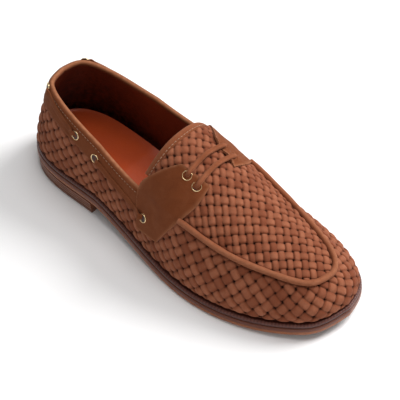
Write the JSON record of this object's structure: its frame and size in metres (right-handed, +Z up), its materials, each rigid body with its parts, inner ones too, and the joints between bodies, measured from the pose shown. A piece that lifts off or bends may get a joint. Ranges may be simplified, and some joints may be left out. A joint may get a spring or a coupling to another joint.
{
  "type": "woven suede loafer",
  "caption": "Woven suede moccasin-toe loafer with lace bars, side wings and collar band on a welted leather sole and stacked heel.",
  "frame": {"origin": "on the floor, under the middle of the sole", "axes": "+Z up, +X towards the toe, +Y towards the inner side of the foot; this is a right shoe"},
  "size_m": [0.298, 0.1114, 0.0952],
  "materials": {
    "sole_leather": "satin leather edge, rust above and tan below",
    "welt_leather": "dark waxed leather with wheel marks",
    "insole_leather": "smooth glossy tan leather",
    "heel_leather": "stacked leather, satin",
    "heel_rubber": "matt rubber",
    "woven_suede": "plaited suede strips, matt nap",
    "suede": "suede, matt nap",
    "thong": "suede-finished thong",
    "brass": "polished brass"
  },
  "bodies": {
    "root": {"outsole": "sole_leather", "welt": "welt_leather", "insole": "insole_leather", "heel_stack": "heel_leather", "heel_top_lift": "heel_rubber", "upper": "woven_suede", "tongue": "woven_suede", "tongue_binding": "suede", "wing_outer": "suede", "wing_inner": "suede", "collar_band": "suede", "moc_piping": "suede", "lace_outer_front": "thong", "lace_outer_rear": "thong", "lace_inner_front": "thong", "lace_inner_rear": "thong", "lace_bar_1": "thong", "lace_bar_2": "thong", "eyelet_outer_throat_1": "brass", "eyelet_outer_throat_2": "brass", "eyelet_outer_band_1": "brass", "eyelet_outer_band_2": "brass", "eyelet_outer_band_3": "brass", "eyelet_outer_band_4": "brass", "eyelet_inner_throat_1": "brass", "eyelet_inner_throat_2": "brass", "eyelet_inner_band_1": "brass", "eyelet_inner_band_2": "brass", "eyelet_inner_band_3": "brass", "eyelet_inner_band_4": "brass"}
  },
  "joints": []
}
